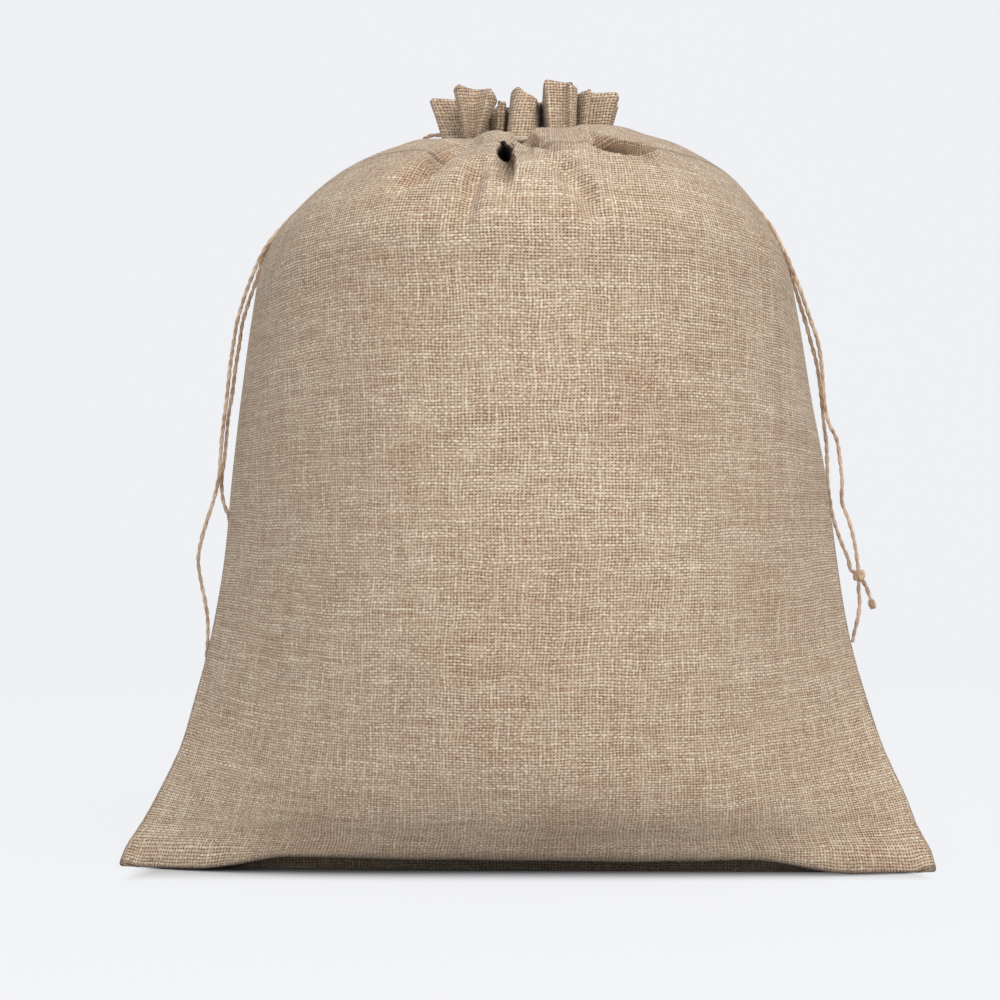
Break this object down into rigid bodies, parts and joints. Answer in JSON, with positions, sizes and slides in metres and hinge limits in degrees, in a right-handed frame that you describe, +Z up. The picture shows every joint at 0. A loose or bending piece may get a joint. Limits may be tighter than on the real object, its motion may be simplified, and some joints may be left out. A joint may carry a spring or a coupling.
{
  "type": "drawstring gift bag",
  "caption": "Standing cloth gift bag of coarse plain weave, gathered to a pleated neck by twine drawstrings whose knotted free ends hang down its sides.",
  "frame": {"origin": "middle of the base, on the surface that the bag stands on", "axes": "+Z up, +X to the right across the wide front as seen from the front, front facing -Y"},
  "size_m": [0.2954, 0.1919, 0.2843],
  "materials": {
    "cloth": "coarse plain weave of slubby natural beige yarn with pinkish brown and cream streaks, matte",
    "twine": "twisted jute twine, light brown, matte and a little hairy"
  },
  "bodies": {
    "root": {"front_panel": "cloth", "back_panel": "cloth", "left_drawcord_outer": "twine", "left_drawcord_inner": "twine", "left_knot": "twine", "left_knot_tail": "twine", "right_drawcord_outer": "twine", "right_drawcord_inner": "twine", "right_knot": "twine", "right_knot_tail": "twine"}
  },
  "joints": []
}
